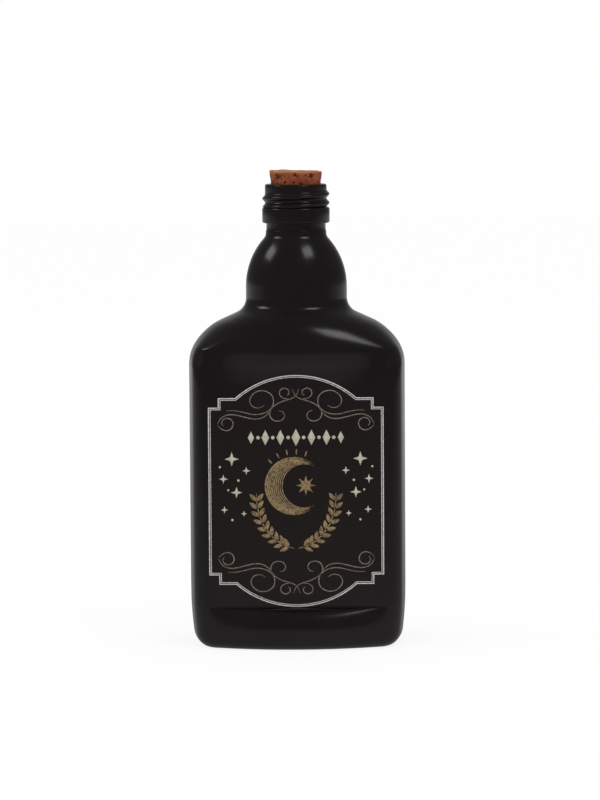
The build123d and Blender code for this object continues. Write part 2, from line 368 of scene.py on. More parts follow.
# %% Neck, ring and mouth
finish_steps, bore_steps = 64, 8


def rounded(corners, radii, steps=6):
    """A profile through corners, each rounded by an arc of its own radius.

    The arc leaves and meets the two edges at radius x tan(half of the turn) from the corner.
    """
    corners = np.array(corners, float)
    pieces = [corners[:1]]
    for before, corner, after, radius in zip(corners, corners[1:], corners[2:], radii):
        towards = (before - corner) / np.linalg.norm(before - corner)
        onwards = (after - corner) / np.linalg.norm(after - corner)
        half_turn = (pi - np.arccos(np.clip(towards @ onwards, -1, 1))) / 2
        middle = (towards + onwards) / np.linalg.norm(towards + onwards)
        centre = corner + middle * radius / np.cos(half_turn)
        angle = np.linspace(-half_turn, half_turn, steps)[:, None]
        across = (onwards - towards) / np.linalg.norm(onwards - towards)
        pieces.append(centre + radius * (np.sin(angle) * across - np.cos(angle) * middle))
    return np.vstack(pieces + [corners[-1:]])


def round_rows(profile):
    """Round sections along a profile of radius and height."""
    radius, height = profile.T
    return sections(height, radius, radius, radius, ellipse_angle, ellipse_angle)


def upright(radius, low, high, steps):
    """The points between the ends of a straight stretch: one radius and evenly spaced heights."""
    height = np.linspace(low, high, steps)[1:-1]
    return np.column_stack([np.full_like(height, radius), height])


ring_top = ring_bottom + ring_height
step_top = neck_foot_height + neck_step
neck_profile = rounded(
    [
        (neck_foot_radius, neck_foot_height),
        (neck_foot_radius, step_top),
        (neck_radius, step_top),
        (neck_radius, ring_bottom),
        (ring_radius, ring_bottom),
        (ring_radius, ring_top),
        (finish_radius, ring_top),
    ],
    [step_fillet, step_fillet, neck_fillet, ring_fillet, ring_fillet],
)
rim_profile = rounded(
    [
        (finish_radius, bottle_height - 2 * rim_fillet),
        (finish_radius, bottle_height),
        (bore_radius, bottle_height),
        (bore_radius, bottle_height - 2 * rim_fillet),
    ],
    [rim_fillet, rim_fillet],
)
finish_profile = upright(finish_radius, ring_top, rim_profile[0, 1], finish_steps)
bore_profile = upright(bore_radius, rim_profile[-1, 1], neck_foot_height, bore_steps)
mouth_rows = round_rows(np.vstack([neck_profile, finish_profile, rim_profile, bore_profile]))
print("the mouth takes", len(mouth_rows), "rows")

# %% [markdown]
# A screw thread is a rounded ridge whose middle climbs one pitch a turn. Screwing a profile
# round with a modifier would leave an open end to close by hand. As a rise added to the
# finish wall it runs in and out of the wall by itself, the way a moulded thread does.

# %% The thread
thread_rise, thread_half_width, thread_pitch = 1.15, 1.8, 3.69
thread_start, thread_end, thread_run = radians(150), radians(800), radians(35)
thread_start_height, turns_begun = ring_top - 0.4, 3


def thread(x, y, height):
    """How far the thread stands out at each point.

    It is the rise times the squared cosine of the distance from the turn's middle, which is
    a quarter turn at the half width, and less by a sine where the ridge runs in or out.
    """
    rise = np.zeros_like(height)
    for turn in range(turns_begun):
        angle = np.arctan2(y, x) % (2 * pi) + 2 * pi * turn
        middle = thread_start_height + thread_pitch * (angle - thread_start) / (2 * pi)
        off = np.clip((height - middle) / thread_half_width, -1, 1)
        run = np.clip(np.minimum(angle - thread_start, thread_end - angle) / thread_run, 0, 1)
        ridge = np.cos(off * pi / 2) ** 2
        rise = np.maximum(rise, thread_rise * ridge * np.sin(run * pi / 2))
    return rise


print("the thread makes", round((thread_end - thread_start) / (2 * pi), 1), "turns")

# %% [markdown]
# All rows are now stacked from the middle of the dish, up the outside, over the rim, down
# the bore and round the cavity to its floor. So the glass is one closed shell with a real
# wall, and its mouth is open when the cork is out.

# %% The bottle
floor_radius, least_corner, floor_steps, slack = 1.0, 0.1, 8, 0.01


def floor_rows():
    """Sections of the cavity's floor: ever smaller shares of its edge, in to the middle."""
    share = np.linspace(1, 0, floor_steps)[:-1]
    width = (body_width / 2 - wall - floor_radius) * share
    depth = (heel_depth / 2 - wall - floor_radius) * share
    corner = np.maximum((heel_corner - wall) * share, least_corner)
    return sections(base_thickness, width, depth, corner, bow_angle, side_angle)


outside = [foot_rows(), heel_rows(0, heel_radius, heel_band_height)[1:], ledge_rows(0)]
outside += [panel_rows(0), upper_rows(0, neck_foot_radius)[1:], mouth_rows[1:]]
inside = [heel_rows(wall, base_thickness + floor_radius, heel_band_height), ledge_rows(wall)]
inside += [panel_rows(wall), upper_rows(wall, bore_radius + wall)[1:]]
# Little of the inside shows, so it takes every third row, from the top down.
inside = np.vstack(inside)[::-3]
rows = np.vstack(outside + [inside, floor_rows()])
points = ovals(rows)
lift_crease(points)
# The finish wall is what lies above the ring and is as wide as the finish.
is_finish = (rows[:, 0] > ring_top) & (rows[:, 1] >= finish_radius - slack)
x, y, z = points[is_finish].transpose(2, 0, 1)
scale = 1 + thread(x, y, z) / np.hypot(x, y)
points[is_finish] *= np.stack([scale, scale, np.ones_like(scale)], axis=-1)
bottle = closed_grid("bottle_glass", points)
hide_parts("bottle")
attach(bottle, "bottle")

# %% [markdown]
# A cork stopper is punched from bark, so it is a plain tapered plug with an uneven, slightly
# tilted top and pores across its side. The pores are dents at seeded random places, each as
# deep as a bell curve of the distance from its middle. Three large hollows near the top of
# the front are listed one by one. Sculpting could make them too, but not the same way each run.

# %% Sizes of the cork
cork_top, cork_foot = cork_high.z / mm, cork_low.z / mm
cork_top_radius = (cork_high.x - cork_low.x) / 2 / mm
taper_slope = np.tan(radians(6))
cork_foot_radius = cork_top_radius - (cork_top - cork_foot) * taper_slope
cork_edge, edge_share = 0.5, 0.3
side_rows, disc_rows, cork_columns, disc_start, disc_end = 70, 22, 180, 0.08, 0.95
cork_tilt, cork_wave, uneven_depth = radians(1.4), 0.09, 6
fine_pores = {"count": 260, "sizes": (0.35, 0.9), "depths": (0.1, 0.42)}
large_pores = {"count": 36, "sizes": (0.9, 1.7), "depths": (0.1, 0.3)}
pore_flatness, hollow_depth = 1.7, 0.5
dice = np.random.default_rng(7)
# Each hollow is given by its distance across, its distance below the top and its size.
hollows = []
for across, below, size in ((-7.4, 2.7, 1.5), (-0.3, 1.9, 1.0), (6.3, 2.4, 1.2)):
    side_radius = cork_top_radius - below * taper_slope
    hollows.append(((across, -sqrt(side_radius**2 - across**2), cork_top - below), size))
print("the cork's radius at top and foot in mm:",
      round(cork_top_radius, 2), round(float(cork_foot_radius), 2))


# %% The cork
def cork_points():
    """A grid over the cork: out over the foot, up the side and in over the top.

    Its side is a straight line, and each edge is rounded by three points.
    """
    edge = cork_edge * np.array([0, edge_share, 1])
    foot = np.column_stack([cork_foot_radius - edge[::-1], cork_foot + edge])
    top = np.column_stack([cork_top_radius - edge, cork_top - edge[::-1]])
    share = np.linspace(0, 1, side_rows)[1:-1, None]
    side = blend(share, foot[-1], top[0])
    disc = np.linspace(disc_start, disc_end, disc_rows)[:, None]
    foot_disc = np.column_stack([disc * foot[0, 0], np.full_like(disc, cork_foot)])
    top_disc = np.column_stack([disc[::-1] * top[-1, 0], np.full_like(disc, cork_top)])
    radius, height = np.vstack([foot_disc, foot, side, top, top_disc]).T[:, :, None]
    angle = np.linspace(0, 2 * pi, cork_columns, endpoint=False)
    around = np.broadcast_arrays(radius * np.cos(angle), radius * np.sin(angle), height)
    return np.stack(around, axis=-1)


def pores(grid, count, sizes, depths):
    """Depth of the dents at each point: e^-(d / size)^2 of the depth at the distance d from
    each seeded middle, where heights count for more, so that a pore is wider than tall."""
    flat = grid.reshape(-1, 3)
    middles = flat[dice.choice(len(flat), count, replace=False)]
    size = dice.uniform(*sizes, count)
    depth = dice.uniform(*depths, count)
    stretch = np.array([1, 1, pore_flatness])
    away = ((flat[:, None, :] - middles) * stretch / size[:, None]) ** 2
    return (depth * np.exp(-away.sum(axis=-1))).max(axis=1).reshape(grid.shape[:2])


grid = cork_points()
dent = pores(grid, **fine_pores) + pores(grid, **large_pores)
for middle, size in hollows:
    dent = dent + hollow_depth * np.exp(-(((grid - middle) / size) ** 2).sum(axis=-1))
# Every dent goes straight towards the cork's middle.
centre = np.array([0, 0, (cork_top + cork_foot) / 2])
reach = grid - centre
grid = grid - dent[..., None] * reach / np.linalg.norm(reach, axis=-1, keepdims=True)
# The top leans to one side and waves five and eight times round, less and less below it.
near_top = np.clip((grid[..., 2] - cork_top + uneven_depth) / uneven_depth, 0, 1)
grid[..., 2] -= near_top * np.tan(cork_tilt) * (grid[..., 0] + cork_top_radius)
round_cork = np.arctan2(grid[..., 1], grid[..., 0])
grid[..., 2] -= near_top * cork_wave * (2 + np.sin(5 * round_cork + 1) + np.sin(8 * round_cork))
cork = closed_grid("cork_stopper", grid)
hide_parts("cork")
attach(cork, "cork")

# %% [markdown]
# The print is four inks on the film. A real one is a few hundredths of a millimetre of ink,
# laid through a screen, so each mark is a thin closed slab of its own outline. Marks are
# of two kinds: a ribbon that follows a line, and a tile that fills an outline. A texture
# could hold the marks too, but slabs keep their edges sharp in any close view.

# %% Marks of ink
ink_sunk, ink_proud = 0.01, 0.03
film_front = label_low.y / mm
ink_back, ink_front = film_front + ink_sunk, film_front - ink_proud
print_x = (label_low.x + label_high.x) / 2 / mm
print_z = (label_low.z + label_high.z) / 2 / mm
print("the middle of the print is", round(print_z, 1), "mm above the table")


def on_label(flat, y):
    """Points on the label's front at depth y, from distances to its middle."""
    x, z = flat[..., 0] + print_x, flat[..., 1] + print_z
    return np.stack([x, np.full_like(x, y), z], axis=-1)


def slab(left, right):
    """A grid round a flat band, from its left and right edge as one walks along it."""
    edges = [(left, ink_front), (right, ink_front), (right, ink_back), (left, ink_back)]
    return np.stack([on_label(*edge) for edge in edges], axis=1)


def ribbon(line, width):
    """A band along a line: each edge lies half the width from the line, across its direction."""
    along = np.gradient(line, axis=0)
    across = np.column_stack([-along[:, 1], along[:, 0]]) / np.linalg.norm(along, axis=1)[:, None]
    half = across * np.broadcast_to(width, len(line))[:, None] / 2
    return slab(line + half, line - half)


def tile(outline):
    """A grid that fills an outline, anticlockwise round its middle: its points at the ink's
    back and the same points at its front."""
    return np.stack([on_label(outline, ink_back), on_label(outline, ink_front)])


def smooth_line(corners, steps=10):
    """A line through points: between two, p + (q - o) t / 2 + (2 o - 5 p + 4 q - r) t^2 / 2
    + (3 p - o - 3 q + r) t^3 / 2, where o and r are the points before and after them."""
    corners = np.array(corners, float)
    ends = 2 * corners[[0, -1]] - corners[[1, -2]]
    longer = np.vstack([ends[:1], corners, ends[1:]])
    o, p, q, r = (longer[i:i + len(corners) - 1, None] for i in range(4))
    t = np.linspace(0, 1, steps, endpoint=False)[None, :, None]
    line = p + (q - o) * t / 2 + (2 * o - 5 * p + 4 * q - r) * t**2 / 2
    line = line + (3 * p - o - 3 * q + r) * t**3 / 2
    return np.vstack([line.reshape(-1, 2), corners[-1:]])


def tapered(count, width, least=0.3):
    """Widths along a line, from a least share of the width at its ends to all of it in the
    middle, by the root of half a sine wave."""
    share = np.sin(pi * np.linspace(0, 1, count)) ** 0.5
    return width * (least + (1 - least) * share)


def mirrored(line, across, upright):
    """A line with its distances across and upright times a sign each."""
    return line * np.array([across, upright])


# %% [markdown]
# The frame is a double silver line that follows the plaque's outline: upright sides, a step
# at each corner and an arch above and below. An outline drawn inside another at an even
# distance has the same number of points, so the band between the two needs no mitres.

# %% Frame of the print
side_reach, side_rise, step_reach, step_rise = 36.2, 34.9, 32.1, 38.8
arch_radius, arch_centre = 37.94, 10.26
outer_line, inner_line = (0.06, 0.52), (0.84, 1.12)


def plaque(inset):
    """The plaque's outline, anticlockwise from the right, an even distance inside its edge.

    Its straight edges move in by the inset. The arch keeps its centre and loses the inset
    from its radius, and it starts at the root of radius^2 - height^2 on the step's top.
    """
    top, radius = step_rise - inset, arch_radius - inset
    foot = sqrt(radius**2 - (top - arch_centre) ** 2)
    turn = np.linspace(np.arctan2(top - arch_centre, foot), pi / 2, 24)
    arch = np.column_stack([radius * np.cos(turn), arch_centre + radius * np.sin(turn)])
    side, step, level = side_reach - inset, step_reach - inset, side_rise - inset
    quarter = np.vstack([(side, level), (step, level), (step, top), arch])
    upper = np.vstack([quarter, quarter[-2::-1] * (-1, 1)])
    return np.vstack([upper, -upper, upper[:1]])


lines = [slab(plaque(inner), plaque(outer)) for outer, inner in (outer_line, inner_line)]
frame_lines = closed_grid("frame_lines", *lines)

# %% [markdown]
# The corners are filled with scrolls, drawn with one flowing line each, as a pen would. The
# points of one quarter are enough: the other three are its mirror images.

# %% Scrolls
scroll_width = 0.42
vine = [
    (1.4, 42.4), (0, 39.5), (-2.5, 38.1), (-5.8, 37.1), (-8.9, 35.4), (-10.5, 33.4),
    (-10.6, 31.3), (-9.5, 29.7), (-7.6, 29.1), (-5.6, 29.6), (-4.6, 31.3), (-5.4, 33.0),
    (-7.0, 33.4),
]
bud = [
    (-2.5, 38.2), (-4.8, 38.5), (-6.4, 39.7), (-6.6, 41.3), (-5.8, 42.3), (-4.4, 42.7),
    (-2.9, 41.8), (-2.8, 40.4), (-3.6, 39.7),
]
coil = [
    (-28.4, 33.5), (-25.1, 33.5), (-21.4, 32.8), (-18.1, 32.0), (-14.8, 32.0), (-11.8, 33.0),
    (-9.7, 35.0), (-9.1, 37.5), (-9.9, 39.9), (-12.4, 41.5), (-15.5, 41.5), (-17.9, 39.9),
    (-18.9, 37.5), (-17.7, 35.2), (-15.2, 34.6), (-13.0, 35.6),
]
tail = [
    (-10.3, 33.4), (-12.4, 31.3), (-14.8, 30.2), (-17.7, 30.1), (-21.0, 30.8), (-24.7, 31.7),
    (-27.8, 31.8), (-30.7, 30.5), (-32.3, 27.8),
]
curl = [
    (-32.1, 27.4), (-30.5, 25.9), (-28.4, 25.3), (-26.5, 26.2), (-25.8, 28.2), (-26.6, 29.8),
    (-28.2, 30.4), (-29.8, 29.9), (-30.5, 28.4), (-29.8, 27.1),
]
strokes = []
for corners in (vine, bud, coil, tail, curl):
    line = smooth_line(corners)
    for across, upright in ((1, 1), (-1, 1), (1, -1), (-1, -1)):
        strokes.append(ribbon(mirrored(line, across, upright), tapered(len(line), scroll_width)))
scrolls = closed_grid("scroll_lines", *strokes)

# %% [markdown]
# The middle of the label has plain ornament: a row of lozenges with dots between them, and
# small stars and dots at both sides. Each mark is an outline of a few points, which a tile
# fills. Only the marks of the right side are listed, and a sign puts them on the left too.

# %% Lozenges, stars and dots
def star(u, v, size, points=4, waist=0.34):
    """A star's outline: its radius alternates between the size and the waist's share of it."""
    turn = np.arange(2 * points) * pi / points + pi / 2
    radius = size * np.where(np.arange(2 * points) % 2, waist, 1)
    return np.column_stack([u + radius * np.cos(turn), v + radius * np.sin(turn)])


def dot(u, v, radius):
    """A dot's outline: twenty points at the radius from its middle."""
    turn = np.linspace(0, 2 * pi, 20, endpoint=False)
    return np.column_stack([u + radius * np.cos(turn), v + radius * np.sin(turn)])


row_height, lozenge_waist, row_dot = 22.3, 0.5, 0.75
lozenges = [(-18.5, 2.6), (-12.6, 3.2), (-6.4, 3.2), (0, 3.6), (6.4, 3.2), (12.6, 3.2), (18.5, 2.6)]
side_stars = [(26.5, 13.5, 3.0), (20.5, 8.6, 1.7), (30.0, 5.2, 1.9)]
side_stars += [(24.6, -0.4, 2.4), (29.6, -7.6, 1.6), (21.6, -9.2, 1.3)]
side_dots = [(23.8, 4.6, 0.5), (28.0, 0.6, 0.45), (26.4, -11.8, 0.5), (31.4, 10.2, 0.45)]
marks = [star(u, row_height, size, 2, lozenge_waist) for u, size in lozenges]
marks += [dot(u, row_height, row_dot) for u in (-15.6, -9.5, -3.2, 3.2, 9.5, 15.6)]
for sign in (-1, 1):
    marks += [star(u * sign, v, size) for u, v, size in side_stars]
    marks += [dot(u * sign, v, radius) for u, v, radius in side_dots]
cream_marks = closed_grid("cream_marks", *[tile(outline) for outline in marks])

# %% [markdown]
# The moon is engraved the old way, shaded by lines that run from horn to horn, heavier
# towards its outer edge and thinner where it is narrow. It is the space between two circles,
# so each line is a blend of the two arcs. A star of eight points stands in its hollow.

# %% Moon
moon_u, moon_v, moon_radius, hollow_radius, hollow_shift = -0.8, 2.2, 11.8, 9.1, 4.1
hatch_lines, outer_weight, inner_weight, least_width = 9, 0.85, 0.4, 0.12
# The circles cross where both distances fit: x is (R^2 - r^2 + shift^2) / (2 shift).
horn = (moon_radius**2 - hollow_radius**2 + hollow_shift**2) / (2 * hollow_shift)
horn_rise = sqrt(moon_radius**2 - horn**2)
outer_horn = np.arctan2(horn_rise, horn)
inner_horn = np.arctan2(horn_rise, horn - hollow_shift)
span = np.linspace(0, 1, 60)
turn = blend(span, outer_horn, 2 * pi - outer_horn)
outer_edge = np.column_stack([moon_radius * np.cos(turn), moon_radius * np.sin(turn)])
turn = blend(span, inner_horn, 2 * pi - inner_horn)
inner_x, inner_y = hollow_shift + hollow_radius * np.cos(turn), hollow_radius * np.sin(turn)
inner_edge = np.column_stack([inner_x, inner_y])
moon_thickness = np.linalg.norm(outer_edge - inner_edge, axis=1)
engraved = []
for line_number in range(hatch_lines):
    share = line_number / (hatch_lines - 1)
    line = blend(share, outer_edge, inner_edge) + (moon_u, moon_v)
    weight = blend(share, outer_weight, inner_weight)
    engraved.append(ribbon(line, weight * moon_thickness / hatch_lines + least_width))
star_u, star_v = moon_u + 4.8, moon_v + 0.2
engraved.append(tile(star(star_u, star_v, size=4.2, points=8, waist=0.42)))
print("the moon is", round(moon_thickness.max(), 1), "mm thick in its middle")

# %% [markdown]
# Two sprigs curve up beneath the moon, and five short rays stand over it. A sprig is a stem,
# thinner at its ends, with a pair of leaves at every fifth of its points. The leaves turn
# away from the way the stem runs there, as they do on a real twig.

# %% Sprigs and rays
stem_width, leaf_length, leaf_width, leaf_turn = 0.55, 4.2, 1.7, 0.75
leaf_places, ray_angles = range(5, 50, 5), np.radians([70, 86, 102, 118, 134])
ray_start, ray_end, ray_width, ray_points = 13.0, 15.4, 0.6, 6


def leaf(u, v, length, width, turn):
    """A leaf's outline: half its width is the width times sin(pi s)^0.8 / 2 along its length."""
    share = np.linspace(0, 1, 14)
    half = width / 2 * np.sin(pi * share) ** 0.8
    edge = np.column_stack([length * share, -half])
    whole = np.vstack([edge, (edge * (1, -1))[-2:0:-1]])
    rotate = np.array([[cos(turn), sin(turn)], [-sin(turn), cos(turn)]])
    return whole @ rotate + (u, v)


stem = smooth_line([
    (0.8, -23.8), (5.4, -22.2), (10.2, -18.6), (13.9, -13.4), (15.9, -7.2), (16.4, -0.8),
])
for sign in (-1, 1):
    engraved.append(ribbon(mirrored(stem, sign, 1), tapered(len(stem), stem_width)))
    for place in leaf_places:
        spot = stem[place]
        ahead = stem[place + 1] - spot
        heading = np.arctan2(ahead[1], ahead[0])
        for side_turn in (leaf_turn, -leaf_turn):
            turned = heading + side_turn if sign > 0 else pi - heading - side_turn
            outline = leaf(sign * spot[0], spot[1], leaf_length, leaf_width, turned)
            engraved.append(tile(outline))
for turn in ray_angles:
    direction = np.array([cos(turn), sin(turn)])
    ray = np.linspace(ray_start, ray_end, ray_points)[:, None] * direction + (moon_u, moon_v)
    engraved.append(ribbon(ray, tapered(ray_points, ray_width)))
engraving = closed_grid("engraving", *engraved)

for mark in (frame_lines, scrolls, cream_marks, engraving):
    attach(mark, "bottle")

# %% [markdown]
# Materials come next. A colour is written as the eye sees it, in sRGB hex, and Blender works
# in linear light, so one function turns one into the other. One more adds a node with its
# settings, and links each input that is given another node's output. Patterns read Object
# coordinates, which are metres on the piece itself, so a scale is one over a size in metres.

# %% Helpers for materials
def linear(code):
    """The linear colour of an sRGB hex code: ((c + 0.055) / 1.055)^2.4, or c / 12.92 if dark."""
    value = np.array([int(code[i:i + 2], 16) for i in (1, 3, 5)]) / 255
    bright = ((value + 0.055) / 1.055) ** 2.4
    return (*np.where(value > 0.04045, bright, value / 12.92), 1)


def add_node(tree, kind, inputs=None, **settings):
    """Adds a node: settings are its own values, inputs are socket values or outputs to link."""
    made = tree.nodes.new(kind)
    for name, value in settings.items():
        setattr(made, name, value)
    for socket, value in (inputs or {}).items():
        if isinstance(value, bpy.types.NodeSocket):
            tree.links.new(value, made.inputs[socket])
        else:
            made.inputs[socket].default_value = value
    return made


def new_material(name):
    """A material with a Principled shader, and a node that gives Object coordinates."""
    material = bpy.data.materials.new(name)
    material.use_nodes = True
    tree = material.node_tree
    place = add_node(tree, "ShaderNodeTexCoord").outputs["Object"]
    return material, tree, tree.nodes["Principled BSDF"], place


def set_ramp(node, *stops):
    """Sets the stops of a colour ramp, each a position and a colour."""
    ramp = node.color_ramp
    while len(ramp.elements) < len(stops):
        ramp.elements.new(1)
    for element, (position, colour) in zip(ramp.elements, stops):
        element.position = position
        element.color = colour


print("#808080 in linear light:", round(float(linear("#808080")[0]), 3))

# %% [markdown]
# The bottle is black soda-lime glass blown in a mould. It is opaque, so only its skin shows:
# a glossy surface with the index of glass, 1.52. The cold mould leaves waves a centimetre
# or two long and a faint orange peel, which bend the edges of the highlights. They are
# bump, because they are a few hundredths of a millimetre deep.

# %% Black glass
glass_index, smooth_glass, hazy_glass = 1.52, 0.18, 0.21
wave_length, wave_depth, peel_size, peel_depth = 16, 0.05, 2.2, 0.004


def black_glass():
    """Black mould-blown glass: a dark body, soft-edged gloss, long waves and a faint peel."""
    material, tree, shader, place = new_material("black_soda_lime_glass")
    waves = add_node(tree, "ShaderNodeTexNoise", {
        "Vector": place, "Scale": 1 / (wave_length * mm), "Detail": 1.0,
    })
    peel = add_node(tree, "ShaderNodeTexNoise", {
        "Vector": place, "Scale": 1 / (peel_size * mm), "Detail": 2.0,
    })
    long_bump = add_node(tree, "ShaderNodeBump", {
        "Height": waves.outputs["Fac"], "Strength": 1.0, "Distance": wave_depth * mm,
    })
    fine_bump = add_node(tree, "ShaderNodeBump", {
        "Height": peel.outputs["Fac"], "Strength": 1.0, "Distance": peel_depth * mm,
        "Normal": long_bump.outputs["Normal"],
    })
    tint = add_node(tree, "ShaderNodeValToRGB", {"Fac": waves.outputs["Fac"]})
    set_ramp(tint, (0.3, linear("#130c0d")), (0.7, linear("#171011")))
    smear = add_node(tree, "ShaderNodeMapRange", {
        "Value": peel.outputs["Fac"], "From Min": 0.3, "From Max": 0.7,
        "To Min": smooth_glass, "To Max": hazy_glass,
    })
    tree.links.new(tint.outputs["Color"], shader.inputs["Base Color"])
    tree.links.new(smear.outputs["Result"], shader.inputs["Roughness"])
    tree.links.new(fine_bump.outputs["Normal"], shader.inputs["Normal"])
    shader.inputs["IOR"].default_value = glass_index
    return material


bottle.data.materials.append(black_glass())
print("the bottle is made of", bottle.data.materials[0].name)

# %% [markdown]
# Natural cork is bark: rusty brown, with a fine cell texture, darker streaks and dark pores
# full of dust. It is matt, and its top is painted paler, a painted highlight where the rim
# catches the light. The cells are half a millimetre across here, coarser than real ones, so that
# they show.

# %% Bark
cell_size, cell_depth, streak_size, pit_spacing = 0.7, 0.25, 4, 2.1
streak_share, raggedness, hollow_inside, hollow_outside = 0.4, 2.4, 0.6, 1.2
# The next three numbers place a painted highlight: the cork is painted paler near its top, where
# the rim catches the light.
painted_highlight_start, painted_highlight_full, painted_highlight_share, cork_roughness = 1.5, 0.4, 0.6, 0.85


def bark_cork():
    """Natural cork: brown cells, streaks, dark pits and hollows, a painted highlight along the top,
    matt all over.

    How dark a hollow is goes by the distance to the nearest hollow's middle over its size,
    and a share of the cells' pattern is added to that, so its edge is ragged.
    """
    material, tree, shader, place = new_material("natural_bark_cork")
    cells = add_node(tree, "ShaderNodeTexNoise", {
        "Vector": place, "Scale": 1 / (cell_size * mm), "Detail": 4.0,
    })
    streaks = add_node(tree, "ShaderNodeTexNoise", {
        "Vector": place, "Scale": 1 / (streak_size * mm), "Detail": 3.0,
    })
    pits = add_node(tree, "ShaderNodeTexVoronoi", {
        "Vector": place, "Scale": 1 / (pit_spacing * mm),
    })
    ground = add_node(tree, "ShaderNodeValToRGB", {"Fac": cells.outputs["Fac"]})
    set_ramp(ground, (0.3, linear("#672a12")), (0.52, linear("#92451f")), (0.75, linear("#c0733c")))
    patches = add_node(tree, "ShaderNodeValToRGB", {"Fac": streaks.outputs["Fac"]})
    set_ramp(patches, (0.35, linear("#7c3517")), (0.65, linear("#ad5c2c")))
    body = add_node(tree, "ShaderNodeMix", {
        "Factor": streak_share, "A": ground.outputs["Color"], "B": patches.outputs["Color"],
    }, data_type="RGBA")
    holes = add_node(tree, "ShaderNodeValToRGB", {"Fac": pits.outputs["Distance"]})
    set_ramp(holes, (0.14, (0, 0, 0, 1)), (0.3, (1, 1, 1, 1)))
    pitted = add_node(tree, "ShaderNodeMix", {
        "Factor": holes.outputs["Color"], "A": linear("#2c130c"), "B": body.outputs[2],
    }, data_type="RGBA")
    ragged = add_node(tree, "ShaderNodeMath", {
        0: cells.outputs["Fac"], 1: raggedness, 2: -raggedness / 2,
    }, operation="MULTIPLY_ADD")
    nearest = None
    for middle, size in hollows:
        away = add_node(tree, "ShaderNodeVectorMath", {
            0: place, 1: [value * mm for value in middle],
        }, operation="DISTANCE")
        reach = add_node(tree, "ShaderNodeMath", {
            0: away.outputs["Value"], 1: 1 / (size * mm),
        }, operation="MULTIPLY")
        if nearest:
            reach = add_node(tree, "ShaderNodeMath", {
                0: reach.outputs[0], 1: nearest.outputs[0],
            }, operation="MINIMUM")
        nearest = reach
    edge = add_node(tree, "ShaderNodeMath", {
        0: nearest.outputs[0], 1: ragged.outputs[0],
    }, operation="ADD")
    outside_hollow = add_node(tree, "ShaderNodeMapRange", {
        "Value": edge.outputs[0], "From Min": hollow_inside, "From Max": hollow_outside,
    })
    knotted = add_node(tree, "ShaderNodeMix", {
        "Factor": outside_hollow.outputs["Result"], "A": linear("#4a2014"), "B": pitted.outputs[2],
    }, data_type="RGBA")
    height = add_node(tree, "ShaderNodeSeparateXYZ", {0: place}).outputs["Z"]
    # A painted highlight: near the top the colour is painted paler, where the rim catches the
    # light.
    painted_highlight_mask = add_node(tree, "ShaderNodeMapRange", {
        "Value": height, "From Min": (cork_top - painted_highlight_start) * mm,
        "From Max": (cork_top - painted_highlight_full) * mm, "To Max": painted_highlight_share,
    })
    painted_highlight_mix = add_node(tree, "ShaderNodeMix", {
        "Factor": painted_highlight_mask.outputs["Result"], "A": knotted.outputs[2], "B": linear("#d39a62"),
    }, data_type="RGBA")
    bump = add_node(tree, "ShaderNodeBump", {
        "Height": cells.outputs["Fac"], "Strength": 0.8, "Distance": cell_depth * mm,
    })
    tree.links.new(painted_highlight_mix.outputs[2], shader.inputs["Base Color"])
    tree.links.new(bump.outputs["Normal"], shader.inputs["Normal"])
    shader.inputs["Roughness"].default_value = cork_roughness
    return material


cork.data.materials.append(bark_cork())
print("the cork is made of", cork.data.materials[0].name)

# %% [markdown]
# The label is a black plastic film with a print in four inks. The film keeps its CAD node,
# because a die-cut film is as flat as the panel it lies on. It is a little browner and
# less glossy than the glass.

# %% Label film
film_grain, film_grain_depth, film_roughness, film_index = 0.9, 0.01, 0.32, 1.46


def label_film():
    """Black printed film: satin, with a fine grain."""
    material, tree, shader, place = new_material("black_label_film")
    grain = add_node(tree, "ShaderNodeTexNoise", {
        "Vector": place, "Scale": 1 / (film_grain * mm), "Detail": 2.0,
    })
    tint = add_node(tree, "ShaderNodeValToRGB", {"Fac": grain.outputs["Fac"]})
    set_ramp(tint, (0.3, linear("#1a1210")), (0.7, linear("#1f1614")))
    bump = add_node(tree, "ShaderNodeBump", {
        "Height": grain.outputs["Fac"], "Strength": 0.5, "Distance": film_grain_depth * mm,
    })
    tree.links.new(tint.outputs["Color"], shader.inputs["Base Color"])
    tree.links.new(bump.outputs["Normal"], shader.inputs["Normal"])
    shader.inputs["Roughness"].default_value = film_roughness
    shader.inputs["IOR"].default_value = film_index
    return material


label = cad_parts["front_label"]
label.data.materials.clear()
label.data.materials.append(label_film())
print("the label is made of", label.data.materials[0].name)

# %% [markdown]
# Screen ink is pressed through a mesh and dries matt. Here and there it lies thinner and the
# black film darkens it, so each ink has a thin and a full colour with a fine grain between
# them: silver for the frame, sepia for the scrolls, cream for the small marks and tan for
# the engraving. The grain is coarser than that of a real screen, so that it shows.

# %% Inks
ink_grain, ink_roughness = 0.8, 0.55


def screen_ink(name, thin, full):
    """Screen ink: matt, with a grain where it lies thinner on the film."""
    material, tree, shader, place = new_material(name)
    grain = add_node(tree, "ShaderNodeTexNoise", {
        "Vector": place, "Scale": 1 / (ink_grain * mm), "Detail": 3.0,
    })
    tint = add_node(tree, "ShaderNodeValToRGB", {"Fac": grain.outputs["Fac"]})
    set_ramp(tint, (0.35, linear(thin)), (0.6, linear(full)))
    tree.links.new(tint.outputs["Color"], shader.inputs["Base Color"])
    shader.inputs["Roughness"].default_value = ink_roughness
    return material


for mark, name, thin, full in (
    (frame_lines, "silver_screen_ink", "#bdbab6", "#e2e0dc"),
    (scrolls, "sepia_screen_ink", "#6c6056", "#938576"),
    (cream_marks, "cream_screen_ink", "#b8b4a2", "#d2cdb9"),
    (engraving, "tan_screen_ink", "#6a573b", "#a48a62"),
):
    mark.data.materials.append(screen_ink(name, thin, full))
    print(mark.name, "in", name)

# %% [markdown]
# The stage is a plain pale floor under a plain sky. The camera sees both as white. Glossy
# rays see them dimmer, as the walls of a room are beside its lamps, because black glass is
# a mirror and a white room would turn it grey. The floor still takes the object's shadow.

